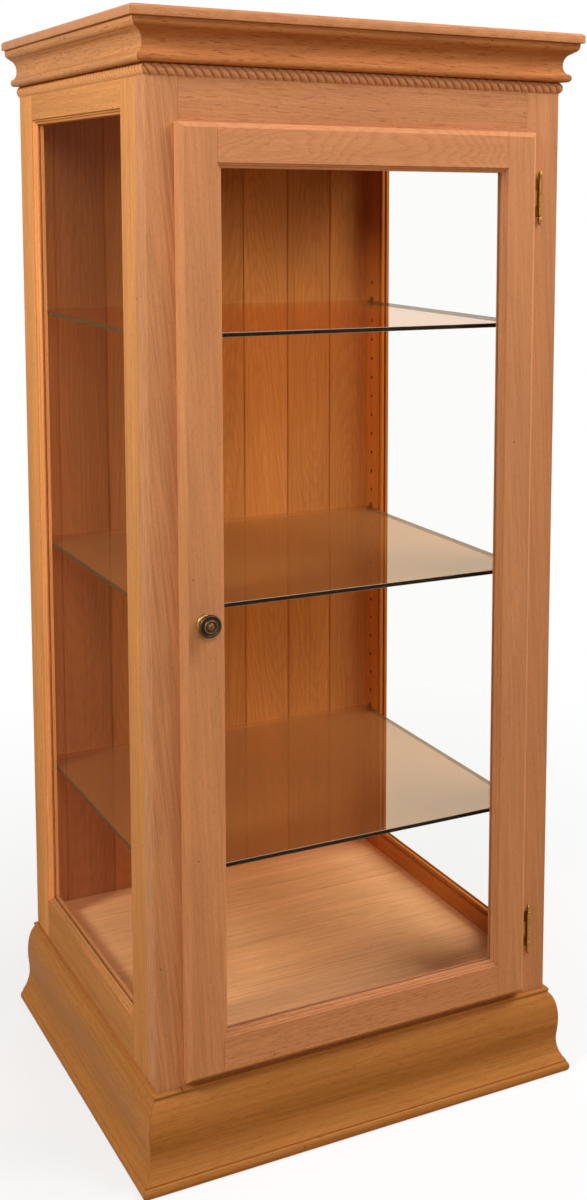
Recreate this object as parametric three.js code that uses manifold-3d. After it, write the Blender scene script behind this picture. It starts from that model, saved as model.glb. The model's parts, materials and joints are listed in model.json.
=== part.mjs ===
// A free-standing oak display cabinet with a glazed door, glazed sides and glass shelves.
// Millimetres, +Z up, the door faces -Y. The origin is the middle of the footprint, at floor level.
import * as THREE from 'three';
import { mergeVertices } from 'three/addons/utils/BufferGeometryUtils.js';
import Module from 'manifold-3d';

const wasm = await Module();
wasm.setup();

// ---- driving dimensions ----
const caseWidth = 593;
const caseDepth = 563;
const totalHeight = 1500;
const gap = 0.3; // clearance between pieces that touch
const mitreGap = 0.25;

const slabThickness = 13;
const slabOverhang = 25.5;
const slabBevel = 3;
const crownHeight = 52;
const crown = {
  reach: 21, edge: 3.5, thumb: 12, thumbReach: 14.6, coveFrom: 13.5, cove: 2, nose: 14.4, foot: 9,
};
const ropeHeight = 15.2;
const ropeProud = 5;
const ropePitch = 11.7; // from one strand to the next, along the moulding
const ropeTwist = 16.4; // how far a strand travels along in half a turn
const ropeGroove = 2.2; // depth between strands
const ropeSteps = 3; // sections per strand
const plinthHeight = 124;
const plinthInner = 15; // how far the plinth reaches in under the case
const plinthBackThickness = 18;
const plinthLip = { reach: 5.6, height: 6, roll: 2 };
const ogee = { shoulder: 17, shoulderHeight: 78, waist: 15, waistHeight: 46 };
const plinthFoot = { reach: 26.2, height: 16.5, beadHeight: 14, roll: 5 };

const postDepth = 34;
const leftPostWidth = 42;
const rightPostWidth = 50.5; // wider, as it carries the hinges
const frontRailThickness = 20;
const frontTopRailBottom = 1359.5;
const floorTop = 153.5;
const floorThickness = 19;

const sideThickness = 16;
const sideFrontStile = 57;
const sideRearStile = 63;
const sideTopRailBottom = 1384;
const sideBottomRailTop = 183.5;

const doorLeft = -260.5;
const doorRight = 253.5;
const doorBottom = 134.5;
const doorTop = 1365.5;
const doorThickness = 17;
const doorStandOff = 1;
const doorBevel = 6.4;
const doorKnobStile = 50;
const doorHingeStile = 47;
const doorTopRail = 48.5;
const doorBottomRail = 52;

const stickingWidth = 6.8; // the stepped moulding round each pane
const stickingStep = { edge: 2.2, width: 2.8, depth: 3.2 };
const stickingBead = { inset: 3.2, from: 5.2, to: 7.8 };
const sideSightDepth = 8;
const doorSightDepth = 10.9;
const glassThickness = 3;
const glassHold = 6.2; // how far a pane reaches in behind its moulding
const beadGroove = { outside: 3.2, width: 4.8, depth: 3 }; // from the opening's edge

const boardThickness = 10;
const boardPitch = 77;
const firstBoardJoint = 212;
const boardCount = 7;

const shelfThickness = 6;
const shelfFront = -245.5;
const shelfBack = 263;
const shelfEndClearance = 2;
const holePitch = 32;
const holeCount = 28;
const topHoleHeight = 1133.8;
const holeRadius = 2.8;
const holeDepth = 9;
const frontHoleRow = -222;
const rearHoleRow = 248;
const shelfHoles = { upper: 1, middle: 12, lower: 23 };
const shelfTopAboveHole = 1.7;

const knob = { length: 24, flange: 12.5, neck: 6.9, face: 15, ring: 9.4, boss: 7.4 };
const floorSeam = { y: 119, width: 1.4, depth: 1.6 }; // where the two floor boards meet
const knobX = -232.4;
const knobHeight = 744;

const hingeAxisX = 266.5;
const hingeAxisAhead = 3.8; // in front of the post's face
const barrelRadius = 3.2;
const pinRadius = 1.4;
const barrelLength = 48;
const middleKnuckle = 22;
const leafThickness = 1.3;
const finial = { collar: 2.5, neck: 1.5, olive: 2.85, length: 11.4 };
const frameLeaf = { reach: 19, height: 52 };
const doorLeaf = { reach: 32, height: 48 };
const hingeHeights = { upper: 1277.5, lower: 222.2 };

// ---- worked-out places ----
const halfWidth = caseWidth / 2;
const halfDepth = caseDepth / 2;
const slabBottom = totalHeight - slabThickness;
const caseBottom = plinthHeight + gap;
const caseTop = slabBottom - gap;
const innerX = halfWidth - sideThickness;
const doorBack = -halfDepth - doorStandOff;
const doorFront = doorBack - doorThickness;
const boardFront = halfDepth - boardThickness - 2.5;
const hingeAxisY = -halfDepth - hingeAxisAhead;
const originShift = (doorStandOff + doorThickness + knob.length) / 2;

// ---- materials ----
const finish = (color, roughness, metalness = 0) =>
  new THREE.MeshStandardMaterial({ color, roughness, metalness });
const oak = finish(0xc98d5e, 0.45);
const paleOak = finish(0xd39a63, 0.45);
const innerOak = finish(0xa9642f, 0.5);
const glass = new THREE.MeshStandardMaterial({
  color: 0xdfe9e4, roughness: 0.03, metalness: 0, transparent: true, opacity: 0.35,
});
const hingeBrass = finish(0x7a5a26, 0.38, 1);
const pinBrass = finish(0xb08a45, 0.35, 1);
const knobBronze = finish(0x4a3a26, 0.35, 1);

// ---- solids ----

/** Turn closed three.js geometry into a solid. */
function solid(geometry) {
  const bare = geometry.clone();
  bare.deleteAttribute('normal');
  bare.deleteAttribute('uv');
  const merged = mergeVertices(bare, 1e-4);
  return new wasm.Manifold(new wasm.Mesh({
    numProp: 3,
    vertProperties: new Float32Array(merged.attributes.position.array),
    triVerts: new Uint32Array(merged.index.array),
  }));
}

/** Turn a solid back into three.js geometry. */
function surface(body) {
  const mesh = body.getMesh();
  const geometry = new THREE.BufferGeometry();
  geometry.setAttribute('position', new THREE.BufferAttribute(mesh.vertProperties, 3));
  geometry.setIndex(new THREE.BufferAttribute(mesh.triVerts, 1));
  geometry.computeVertexNormals();
  return geometry;
}

/** A box between two corners. */
function box([x0, y0, z0], [x1, y1, z1]) {
  const geometry = new THREE.BoxGeometry(x1 - x0, y1 - y0, z1 - z0);
  return geometry.translate((x0 + x1) / 2, (y0 + y1) / 2, (z0 + z1) / 2);
}

/** An outline in the X-Z plane, extruded from y0 to y1. */
function facePrism(outline, y0, y1) {
  const shape = new THREE.Shape(outline.map(([x, z]) => new THREE.Vector2(x, z)));
  const geometry = new THREE.ExtrudeGeometry(shape, { depth: y1 - y0, bevelEnabled: false });
  return geometry.rotateX(Math.PI / 2).translate(0, y1, 0);
}

/** An outline in the X-Y plane, extruded from z0 to z1. */
function planPrism(outline, z0, z1) {
  const shape = new THREE.Shape(outline.map(([x, y]) => new THREE.Vector2(x, y)));
  const geometry = new THREE.ExtrudeGeometry(shape, { depth: z1 - z0, bevelEnabled: false });
  return geometry.translate(0, 0, z0);
}

/** Flip a closed surface that is inside out, so that its faces point outwards. */
function facingOut(geometry) {
  const positions = geometry.attributes.position;
  const index = geometry.index.array;
  const corner = (i) => new THREE.Vector3().fromBufferAttribute(positions, index[i]);
  let volume = 0;
  for (let i = 0; i < index.length; i += 3) {
    volume += corner(i).dot(corner(i + 1).cross(corner(i + 2)));
  }
  if (volume < 0) {
    index.reverse();
  }
  return geometry;
}

/** Skin a list of rings of [x, y, z] points and cap both ends. `outline` is the ring in 2-D. */
function skinRings(rings, outline) {
  const count = outline.length;
  const last = (rings.length - 1) * count;
  const indices = [];
  for (let ring = 0; ring < last; ring += count) {
    for (let j = 0; j < count; j += 1) {
      const a = ring + j;
      const b = ring + ((j + 1) % count);
      indices.push(a, a + count, b + count, a, b + count, b);
    }
  }
  for (const triangle of THREE.ShapeUtils.triangulateShape(outline, [])) {
    const [a, b, c] = triangle.sort((first, second) => first - second);
    indices.push(a, b, c, last + a, last + c, last + b);
  }
  const geometry = new THREE.BufferGeometry();
  geometry.setAttribute('position', new THREE.Float32BufferAttribute(rings.flat(2), 3));
  geometry.setIndex(indices);
  geometry.computeVertexNormals();
  return facingOut(geometry);
}

/** A stack of rectangles that shrink by `inset` as they go in by `depth`, as one closed body. */
function rectangleLoft({ x0, x1, z0, z1 }, levels) {
  const rings = levels.map(([inset, depth]) => [
    [x0 + inset, depth, z0 + inset],
    [x0 + inset, depth, z1 - inset],
    [x1 - inset, depth, z1 - inset],
    [x1 - inset, depth, z0 + inset],
  ]);
  const outline = rings[0].map(([x, , z]) => new THREE.Vector2(x, z));
  return skinRings(rings, outline);
}

/** A lathe turned about the Z axis from [radius, height] points. */
function turned(profile, segments) {
  const points = profile.map(([radius, height]) => new THREE.Vector2(radius, height));
  const lathe = new THREE.LatheGeometry(points, segments).rotateX(Math.PI / 2);
  return facingOut(lathe);
}

// ---- mouldings ----

/** The crown's section: a thumb and fillet over a deep cove, with a nosing below. */
function crownProfile() {
  const top = slabBottom - gap;
  const bottom = slabBottom - crownHeight;
  const noseTop = bottom + 11;
  const path = new THREE.Path();
  path.moveTo(gap, top);
  path.lineTo(crown.reach, top);
  path.lineTo(crown.reach, top - crown.edge);
  path.quadraticCurveTo(crown.reach - 0.4, top - crown.thumb + 2, crown.thumbReach, top - crown.thumb);
  path.lineTo(crown.thumbReach - 1.6, top - crown.coveFrom);
  path.bezierCurveTo(
    crown.cove, top - crown.coveFrom - 3.5, crown.cove - 0.5, noseTop + 5, crown.foot - 0.6, noseTop);
  path.bezierCurveTo(crown.nose - 0.2, noseTop - 1, crown.nose + 0.2, bottom + 1.5, crown.foot, bottom);
  path.lineTo(gap, bottom);
  return path.getPoints(10);
}

/** The plinth's section: a lip over a long ogee that flares to a rounded foot. */
function plinthProfile() {
  const top = plinthHeight;
  const { reach: lip, height: lipHeight, roll: lipRoll } = plinthLip;
  const { shoulder, shoulderHeight, waist, waistHeight } = ogee;
  const { reach: foot, height: footHeight, beadHeight, roll: footRoll } = plinthFoot;
  const path = new THREE.Path();
  path.moveTo(-plinthInner, top);
  path.lineTo(lip, top);
  path.quadraticCurveTo(lip + lipRoll, top - 2.2, lip, top - 4.6);
  path.lineTo(lip, top - lipHeight);
  path.bezierCurveTo(shoulder - 3, top - 13, shoulder, top - 30, shoulder, shoulderHeight);
  path.bezierCurveTo(shoulder, shoulderHeight - 16, waist - 0.6, waistHeight + 10, waist, waistHeight);
  path.bezierCurveTo(
    waist + 0.6, waistHeight - 12, foot - 6.2, footHeight + 7.5, foot, footHeight);
  path.lineTo(foot, beadHeight);
  path.bezierCurveTo(foot + footRoll, beadHeight - 1, foot + footRoll, 1, foot, 0);
  path.lineTo(-plinthInner, 0);
  return path.getPoints(10);
}

/** A straight run of moulding. X runs to the right as seen from outside, -Y points out. */
function mouldingRun(profile, run) {
  const starts = profile.map(({ x, y }) => [run.from - (run.mitreFrom ? x - mitreGap : 0), -x, y]);
  const ends = profile.map(({ x, y }) => [run.to + (run.mitreTo ? x - mitreGap : 0), -x, y]);
  return skinRings([starts, ends], profile);
}

/** The twisted rope: a half-round whose strands wind down to the right. */
function ropeRun(run) {
  const middle = slabBottom - crownHeight - gap - ropeHeight / 2;
  const half = ropeHeight / 2;
  const radius = (half * half + ropeProud * ropeProud) / (2 * ropeProud);
  const centre = ropeProud - radius;
  const angles = [0.88, 0.32, -0.32, -0.88];
  const spare = 3 * ropePitch;
  const steps = Math.ceil(((run.to - run.from + 2 * spare) / ropePitch) * ropeSteps);
  const rings = [];
  for (let i = 0; i <= steps; i += 1) {
    const along = run.from - spare + (i * ropePitch) / ropeSteps;
    const groove = ropeGroove * (1 - Math.abs(Math.sin((Math.PI * i) / ropeSteps)));
    const strand = angles.map((angle) => [
      along - (ropeTwist * angle) / Math.PI,
      -centre - (radius - groove) * Math.cos(angle),
      middle + (radius - groove) * Math.sin(angle),
    ]);
    rings.push([[along, -gap, middle + half], ...strand, [along, -gap, middle - half]]);
  }
  const section = rings[0].map(([, y, z]) => new THREE.Vector2(-y, z));
  const beyond = half + 1;
  const envelope = [[0, beyond], [ropeProud + 1, beyond], [ropeProud + 1, -beyond], [0, -beyond]];
  const cutter = envelope.map(([out, up]) => new THREE.Vector2(out, middle + up));
  return surface(solid(skinRings(rings, section)).intersect(solid(mouldingRun(cutter, run))));
}

// ---- framed openings ----

/** Levels of the cut for a pane: stepped moulding, sight edge, groove for the glass. */
function openingLevels(sightDepth, thickness) {
  const sight = stickingWidth;
  const slotTo = sightDepth + glassThickness + 2 * gap;
  const slotInset = sight - glassHold - gap;
  const bead = new THREE.Path();
  bead.moveTo(stickingBead.inset, stickingBead.from);
  bead.quadraticCurveTo(sight, stickingBead.from, sight, stickingBead.to);
  return [
    [0, -1],
    [0, stickingStep.edge],
    [stickingStep.width, stickingStep.depth],
    ...bead.getPoints(3).map(({ x, y }) => [x, y]),
    [sight, sightDepth],
    [slotInset, sightDepth],
    [slotInset, slotTo],
    [sight, slotTo],
    [sight, thickness + 1],
  ];
}

/** The narrow groove on the inside that shows where the glazing bead meets the frame. */
function beadGrooveRing(opening, thickness) {
  const { outside, width, depth } = beadGroove;
  const ring = (inset, from) => solid(rectangleLoft(opening, [[inset, from], [inset, thickness + 1]]));
  const outer = ring(-outside, thickness - depth);
  return outer.subtract(ring(width - outside, thickness - depth - 1));
}

/** Cut one frame into two full-height stiles and two rails, mitred only across the moulding. */
function frameMembers(frame, outer, opening, thickness) {
  const { x0, x1, z0, z1 } = opening;
  const w = stickingWidth + 1;
  const half = gap / 2;
  const stile = (edge, outerX, inward) => facePrism([
    [outerX, outer.z0 - 1], [edge - inward * half, outer.z0 - 1], [edge - inward * half, z0 + half],
    [edge + inward * (w - half), z0 + w + half], [edge + inward * (w - half), z1 - w - half],
    [edge - inward * half, z1 - half], [edge - inward * half, outer.z1 + 1], [outerX, outer.z1 + 1],
  ], -1, thickness + 1);
  const rail = (edge, outerZ, inward) => facePrism([
    [x0 + half, outerZ], [x0 + half, edge - inward * half],
    [x0 + w + half, edge + inward * (w - half)], [x1 - w - half, edge + inward * (w - half)],
    [x1 - half, edge - inward * half], [x1 - half, outerZ],
  ], -1, thickness + 1);
  const member = (prism) => frame.intersect(solid(prism));
  return {
    leftStile: member(stile(x0, outer.x0 - 1, 1)),
    rightStile: member(stile(x1, outer.x1 + 1, -1)),
    bottomRail: member(rail(z0, outer.z0 - 1, 1)),
    topRail: member(rail(z1, outer.z1 + 1, -1)),
  };
}

/** The pane that slides into a frame's groove. */
function pane(opening, sightDepth) {
  const inset = stickingWidth - glassHold;
  const front = sightDepth + gap;
  return rectangleLoft(opening, [[inset, front], [inset, front + glassThickness]]);
}

// ---- building the object ----

const cabinet = new THREE.Group();
cabinet.position.y = originShift;

const frontSide = new THREE.Group();
frontSide.position.y = -halfDepth;
const leftSide = new THREE.Group();
leftSide.position.x = -halfWidth;
leftSide.rotation.z = -Math.PI / 2;
const rightSide = new THREE.Group();
rightSide.position.x = halfWidth;
rightSide.rotation.z = Math.PI / 2;
cabinet.add(frontSide, leftSide, rightSide);

/** Add one named piece to a group. */
function addPiece(name, geometry, material, group = cabinet) {
  const mesh = new THREE.Mesh(geometry, material);
  mesh.name = name;
  group.add(mesh);
  return mesh;
}

function addMouldings() {
  const front = { from: -halfWidth, to: halfWidth, mitreFrom: true, mitreTo: true };
  const left = { from: -halfDepth, to: halfDepth, mitreFrom: false, mitreTo: true };
  const right = { from: -halfDepth, to: halfDepth, mitreFrom: true, mitreTo: false };
  const sides = [['front', frontSide, front], ['left', leftSide, left], ['right', rightSide, right]];
  for (const [side, group, run] of sides) {
    addPiece(`crown_${side}`, mouldingRun(crownProfile(), run), oak, group);
    addPiece(`rope_${side}`, ropeRun(run), oak, group);
    addPiece(`plinth_${side}`, mouldingRun(plinthProfile(), run), oak, group);
  }
  const plinthX = halfWidth - plinthInner - gap;
  const backFace = halfDepth - gap;
  const back = box([-plinthX, backFace - plinthBackThickness, 0], [plinthX, backFace, plinthHeight]);
  addPiece('plinth_back', back, innerOak);
}

function addTopSlab() {
  const x = halfWidth + slabOverhang;
  const front = -halfDepth - slabOverhang;
  const plan = (inset) => [
    [-x + inset, front + inset], [x - inset, front + inset], [x - inset, halfDepth], [-x + inset, halfDepth],
  ];
  const levels = [[0, slabBottom], [0, totalHeight - slabBevel], [slabBevel, totalHeight]];
  const rings = levels.map(([inset, z]) => plan(inset).map(([px, py]) => [px, py, z]));
  const outline = rings[0].map(([px, py]) => new THREE.Vector2(px, py));
  addPiece('top_slab', skinRings(rings, outline), oak);
}

/** Shallow recesses that let one leaf of each hinge in flush, from the leaf's inner edge to x1. */
function hingeRecesses(leaf, y0, y1, x1) {
  const x0 = hingeAxisX - leaf.reach - gap;
  const halfHeight = leaf.height / 2 + gap;
  const [upper, lower] = Object.values(hingeHeights).map((height) =>
    solid(box([x0, y0, height - halfHeight], [x1, y1, height + halfHeight])));
  return upper.add(lower);
}

function addFrontFrame() {
  const face = -halfDepth;
  const leftEdge = -halfWidth + leftPostWidth;
  const rightEdge = halfWidth - rightPostWidth;
  const postBack = face + postDepth - gap;
  const railBack = face + frontRailThickness;
  addPiece('front_left_post', box([-halfWidth, face, caseBottom], [leftEdge, postBack, caseTop]), oak);
  const rightPost = box([rightEdge, face, caseBottom], [halfWidth, postBack, caseTop]);
  const recesses = hingeRecesses(frameLeaf, face - 1, face + leafThickness + gap, hingeAxisX + gap);
  addPiece('front_right_post', surface(solid(rightPost).subtract(recesses)), oak);
  const railFrom = leftEdge + gap;
  const railTo = rightEdge - gap;
  const topRail = box([railFrom, face, frontTopRailBottom], [railTo, railBack, caseTop]);
  const bottomRail = box([railFrom, face, caseBottom], [railTo, railBack, floorTop]);
  addPiece('front_top_rail', topRail, oak);
  addPiece('front_bottom_rail', bottomRail, oak);
}

/** Cutters for one vertical row of shelf-pin holes, drilled from the inner face. */
function holeRow(x) {
  const sides = 6; // a six-sided drill keeps the surface light
  const drill = new THREE.CylinderGeometry(holeRadius, holeRadius, holeDepth + 1, sides);
  drill.translate(0, -(holeDepth + 1) / 2 + 1, 0);
  let row = null;
  for (let i = 0; i < holeCount; i += 1) {
    const hole = solid(drill.clone().translate(x, sideThickness, topHoleHeight - i * holePitch));
    row = row ? row.add(hole) : hole;
  }
  return row;
}

/** One glazed side. `frontSign` is +1 where the front lies at +X in the side's own frame. */
function addGlazedSide(name, group, frontSign) {
  const frontEdge = halfDepth - postDepth;
  const span = (front, back) => [frontSign * front, frontSign * back].sort((a, b) => a - b);
  const [outerX0, outerX1] = span(frontEdge, -halfDepth);
  const [openX0, openX1] = span(frontEdge - sideFrontStile, sideRearStile - halfDepth);
  const outer = { x0: outerX0, x1: outerX1, z0: caseBottom, z1: caseTop };
  const opening = { x0: openX0, x1: openX1, z0: sideBottomRailTop, z1: sideTopRailBottom };
  const blank = solid(box([outer.x0, 0, outer.z0], [outer.x1, sideThickness, outer.z1]));
  const cut = solid(rectangleLoft(opening, openingLevels(sideSightDepth, sideThickness)));
  const frame = blank
    .subtract(cut)
    .subtract(beadGrooveRing(opening, sideThickness))
    .subtract(holeRow(-frontSign * frontHoleRow))
    .subtract(holeRow(-frontSign * rearHoleRow));
  const parts = frameMembers(frame, outer, opening, sideThickness);
  const [frontStile, rearStile] = frontSign > 0
    ? [parts.rightStile, parts.leftStile]
    : [parts.leftStile, parts.rightStile];
  addPiece(`${name}_side_front_stile`, surface(frontStile), paleOak, group);
  addPiece(`${name}_side_rear_stile`, surface(rearStile), paleOak, group);
  addPiece(`${name}_side_top_rail`, surface(parts.topRail), paleOak, group);
  addPiece(`${name}_side_bottom_rail`, surface(parts.bottomRail), paleOak, group);
  addPiece(`${name}_side_glass`, pane(opening, sideSightDepth), glass, group);
}

function addFloor() {
  const sideX = innerX - gap;
  const frontX = halfWidth - rightPostWidth - gap;
  const frontLeftX = halfWidth - leftPostWidth - gap;
  const front = -halfDepth + frontRailThickness + gap;
  const behindPosts = -halfDepth + postDepth + gap;
  const back = boardFront - gap;
  const outline = [
    [-frontLeftX, front], [frontX, front], [frontX, behindPosts], [sideX, behindPosts],
    [sideX, back], [-sideX, back], [-sideX, behindPosts], [-frontLeftX, behindPosts],
  ];
  const panel = solid(planPrism(outline, floorTop - floorThickness, floorTop));
  const seam = box(
    [-halfWidth, floorSeam.y, floorTop - floorSeam.depth],
    [halfWidth, floorSeam.y + floorSeam.width, floorTop + 1]);
  addPiece('floor_panel', surface(panel.subtract(solid(seam))), innerOak);
}

/** Section of a tongue-and-groove board, with V edges on the face that shows. */
function boardSection(x0, x1, hasGroove, hasTongue, veeAt = []) {
  const front = boardFront;
  const back = boardFront + boardThickness;
  const bevel = 2.2;
  const vees = veeAt.flatMap((x) => [[x - bevel, front], [x, front + bevel], [x + bevel, front]]);
  const tongue = { from: 3.6, to: 6.4, length: 5 };
  const left = hasGroove
    ? [
      [x0, back], [x0, front + tongue.to + gap], [x0 + tongue.length + gap, front + tongue.to + gap],
      [x0 + tongue.length + gap, front + tongue.from - gap], [x0, front + tongue.from - gap],
      [x0, front + bevel], [x0 + bevel, front],
    ]
    : [[x0, back], [x0, front]];
  const right = hasTongue
    ? [
      [x1 - bevel, front], [x1, front + bevel], [x1, front + tongue.from],
      [x1 + tongue.length, front + tongue.from], [x1 + tongue.length, front + tongue.to],
      [x1, front + tongue.to], [x1, back],
    ]
    : [[x1, front], [x1, back]];
  return [...left, ...vees, ...right];
}

/** Seven boards. The first is wide, with a cut vee that carries on the rhythm of the joints. */
function addBackBoards() {
  const edge = innerX - gap;
  for (let i = 0; i < boardCount; i += 1) {
    const first = i === 0;
    const last = i === boardCount - 1;
    const x0 = first ? -edge : firstBoardJoint - (boardCount - 1 - i) * boardPitch + gap / 2;
    const x1 = last ? edge : firstBoardJoint - (boardCount - 2 - i) * boardPitch - gap / 2;
    const section = boardSection(x0, x1, !first, !last, first ? [x1 - boardPitch] : []);
    addPiece(`back_board_${i + 1}`, planPrism(section, caseBottom, caseTop), innerOak);
  }
}

/** A brass shelf support: a peg, an upright plate and a tongue that the glass rests on. */
function shelfPin() {
  const plate = { thickness: 1.5, halfWidth: 3.8, top: 9, bottom: -8 };
  const tongue = { length: 10, thickness: 1.6, inset: 0.4 };
  const peg = { radius: 2.1, length: 8, sides: 6 };
  const under = shelfTopAboveHole - shelfThickness - gap;
  const outline = new THREE.Shape();
  outline.moveTo(-plate.halfWidth, plate.bottom);
  outline.lineTo(plate.halfWidth, plate.bottom);
  outline.lineTo(plate.halfWidth, plate.top - plate.halfWidth);
  outline.absarc(0, plate.top - plate.halfWidth, plate.halfWidth, 0, Math.PI, false);
  const upright = new THREE.ExtrudeGeometry(outline, {
    depth: plate.thickness, bevelEnabled: false, curveSegments: 4,
  }).rotateX(Math.PI / 2).translate(0, plate.thickness, 0);
  const shank = new THREE.CylinderGeometry(peg.radius, peg.radius, peg.length + 1, peg.sides);
  shank.translate(0, (1 - peg.length) / 2, 0);
  const halfTongue = plate.halfWidth - tongue.inset;
  const rest = box(
    [-halfTongue, plate.thickness / 2, under - tongue.thickness],
    [halfTongue, plate.thickness + tongue.length, under]);
  return surface(solid(upright).add(solid(shank)).add(solid(rest)));
}

function addShelves() {
  const pin = shelfPin();
  const shelfX = innerX - shelfEndClearance;
  const sides = [['left', leftSide, 1], ['right', rightSide, -1]];
  const rows = [['front', frontHoleRow], ['rear', rearHoleRow]];
  for (const [level, hole] of Object.entries(shelfHoles)) {
    const height = topHoleHeight - hole * holePitch;
    const top = height + shelfTopAboveHole;
    const sheet = box([-shelfX, shelfFront, top - shelfThickness], [shelfX, shelfBack, top]);
    addPiece(`${level}_shelf`, sheet, glass);
    for (const [side, group, frontSign] of sides) {
      for (const [row, y] of rows) {
        const support = addPiece(`${level}_shelf_pin_${row}_${side}`, pin, pinBrass, group);
        support.position.set(-frontSign * y, sideThickness + gap, height);
      }
    }
  }
}

/** The blank of the door, bevelled round its front edge. */
function doorBlank(outer) {
  const levels = [[doorBevel, 0], [0, doorBevel], [0, doorThickness]];
  return solid(rectangleLoft(outer, levels));
}

function addDoor(door) {
  const outer = { x0: doorLeft, x1: doorRight, z0: doorBottom, z1: doorTop };
  const opening = {
    x0: doorLeft + doorKnobStile, x1: doorRight - doorHingeStile,
    z0: doorBottom + doorBottomRail, z1: doorTop - doorTopRail,
  };
  const cut = solid(rectangleLoft(opening, openingLevels(doorSightDepth, doorThickness)));
  const frame = doorBlank(outer).subtract(cut);
  const parts = frameMembers(frame, outer, opening, doorThickness);
  const recesses = hingeRecesses(
    doorLeaf, doorThickness - leafThickness - gap, doorThickness + 1, doorRight + 1);
  addPiece('door_knob_stile', surface(parts.leftStile), oak, door);
  addPiece('door_hinge_stile', surface(parts.rightStile.subtract(recesses)), oak, door);
  addPiece('door_top_rail', surface(parts.topRail), oak, door);
  addPiece('door_bottom_rail', surface(parts.bottomRail), oak, door);
  addPiece('door_glass', pane(opening, doorSightDepth), glass, door);
  const knob = addPiece('door_knob', turned(knobProfile(), 26), knobBronze, door);
  knob.rotation.x = Math.PI / 2;
  knob.position.set(knobX, -gap, knobHeight);
}

/** The knob's outline from its foot to its domed middle: flange, neck and ringed face. */
function knobProfile() {
  const { flange, neck, face, ring, boss } = knob;
  const front = knob.length - gap;
  const path = new THREE.Path();
  path.moveTo(0, 0);
  path.lineTo(flange - 0.5, 0);
  path.quadraticCurveTo(flange + 1.2, 3.6, flange - 2.6, 5.4);
  path.bezierCurveTo(neck, 6.6, neck - 1, 11, face - 4, 13.4);
  path.quadraticCurveTo(face + 0.8, 15.4, face, front - 5);
  path.quadraticCurveTo(face - 0.8, front - 2.6, ring + 1.2, front - 4.1);
  path.lineTo(ring, front - 3.9);
  path.quadraticCurveTo(ring - 0.8, front - 0.8, boss - 1.2, front - 2.9);
  path.quadraticCurveTo(boss - 4.4, front, 0, front);
  return path.getPoints(4).map(({ x, y }) => [x, y]);
}

/** One hinge knuckle: a short tube round the pin. */
function knuckle(from, to) {
  const ring = [
    [pinRadius + gap, from], [barrelRadius, from], [barrelRadius, to], [pinRadius + gap, to],
    [pinRadius + gap, from],
  ];
  return solid(turned(ring, 14));
}

/** The hinge pin with an olive finial at each end. */
function hingePinProfile(half) {
  const { collar, neck, olive, length } = finial;
  const neckHeight = gap + 1.4;
  const tip = neckHeight + length;
  const rise = [
    [collar, 0], [collar, 1], [neck, neckHeight], [olive * 0.84, neckHeight + length * 0.18],
    [olive, neckHeight + length * 0.44], [olive * 0.8, neckHeight + length * 0.74], [olive * 0.32, tip - 0.5],
  ];
  const end = half + gap;
  const upper = rise.map(([r, h]) => [r, end + h]);
  const lower = [...rise].reverse().map(([r, h]) => [r, -end - h]);
  return [[0, -end - tip], ...lower, [pinRadius, -end], [pinRadius, end], ...upper, [0, end + tip]];
}

/** A butt hinge let into the post and the door's back. Its own origin is on the pin's axis. */
function addHinge(level, height) {
  const half = barrelLength / 2;
  const halfMiddle = middleKnuckle / 2;
  const face = hingeAxisAhead;
  const back = face - doorStandOff;
  const root = barrelRadius - leafThickness; // the curl leaves the barrel this far from its axis
  const curlReach = 0.4; // the curl stops this short of the pin's axis
  const plate = solid(box(
    [-frameLeaf.reach, face, -frameLeaf.height / 2],
    [0, face + leafThickness, frameLeaf.height / 2]));
  const curl = (from, to) => solid(box([-barrelRadius, root, from], [-curlReach, face + 0.5, to]));
  const outer = [[-half, -halfMiddle - gap], [halfMiddle + gap, half]];
  const frameBody = outer.reduce(
    (body, [from, to]) => body.add(knuckle(from, to)).add(curl(from, to)), plate);
  const doorEdge = doorRight - hingeAxisX;
  const doorPlate = solid(box(
    [-doorLeaf.reach, back - leafThickness, -doorLeaf.height / 2],
    [doorEdge, back, doorLeaf.height / 2]));
  const strap = solid(box(
    [doorEdge - 1, back - leafThickness, -halfMiddle], [-root, back, halfMiddle]));
  const doorBody = knuckle(-halfMiddle, halfMiddle).add(strap).add(doorPlate);
  const hinge = new THREE.Group();
  hinge.position.set(hingeAxisX, hingeAxisY, height);
  cabinet.add(hinge);
  addPiece(`${level}_hinge_frame_leaf`, surface(frameBody), hingeBrass, hinge);
  addPiece(`${level}_hinge_door_leaf`, surface(doorBody), hingeBrass, hinge);
  addPiece(`${level}_hinge_pin`, turned(hingePinProfile(half), 12), hingeBrass, hinge);
}

addMouldings();
addTopSlab();
addFrontFrame();
addGlazedSide('left', leftSide, 1);
addGlazedSide('right', rightSide, -1);
addFloor();
addBackBoards();
addShelves();

const door = new THREE.Group();
door.position.y = doorFront;
cabinet.add(door);
addDoor(door);
for (const [level, height] of Object.entries(hingeHeights)) {
  addHinge(level, height);
}

const model = new THREE.Group();
model.add(cabinet);
export default model;
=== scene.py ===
"""An oak display cabinet: finishes, fine pieces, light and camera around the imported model.

Metres, +Z up, the door faces -Y. Each CAD node is shown by a finished copy of itself, apart from the
ropes and the knob, which are made again with finer detail.
"""

import json
import math
from collections import namedtuple

import bmesh
import bpy
from mathutils import Matrix, Vector

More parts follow.
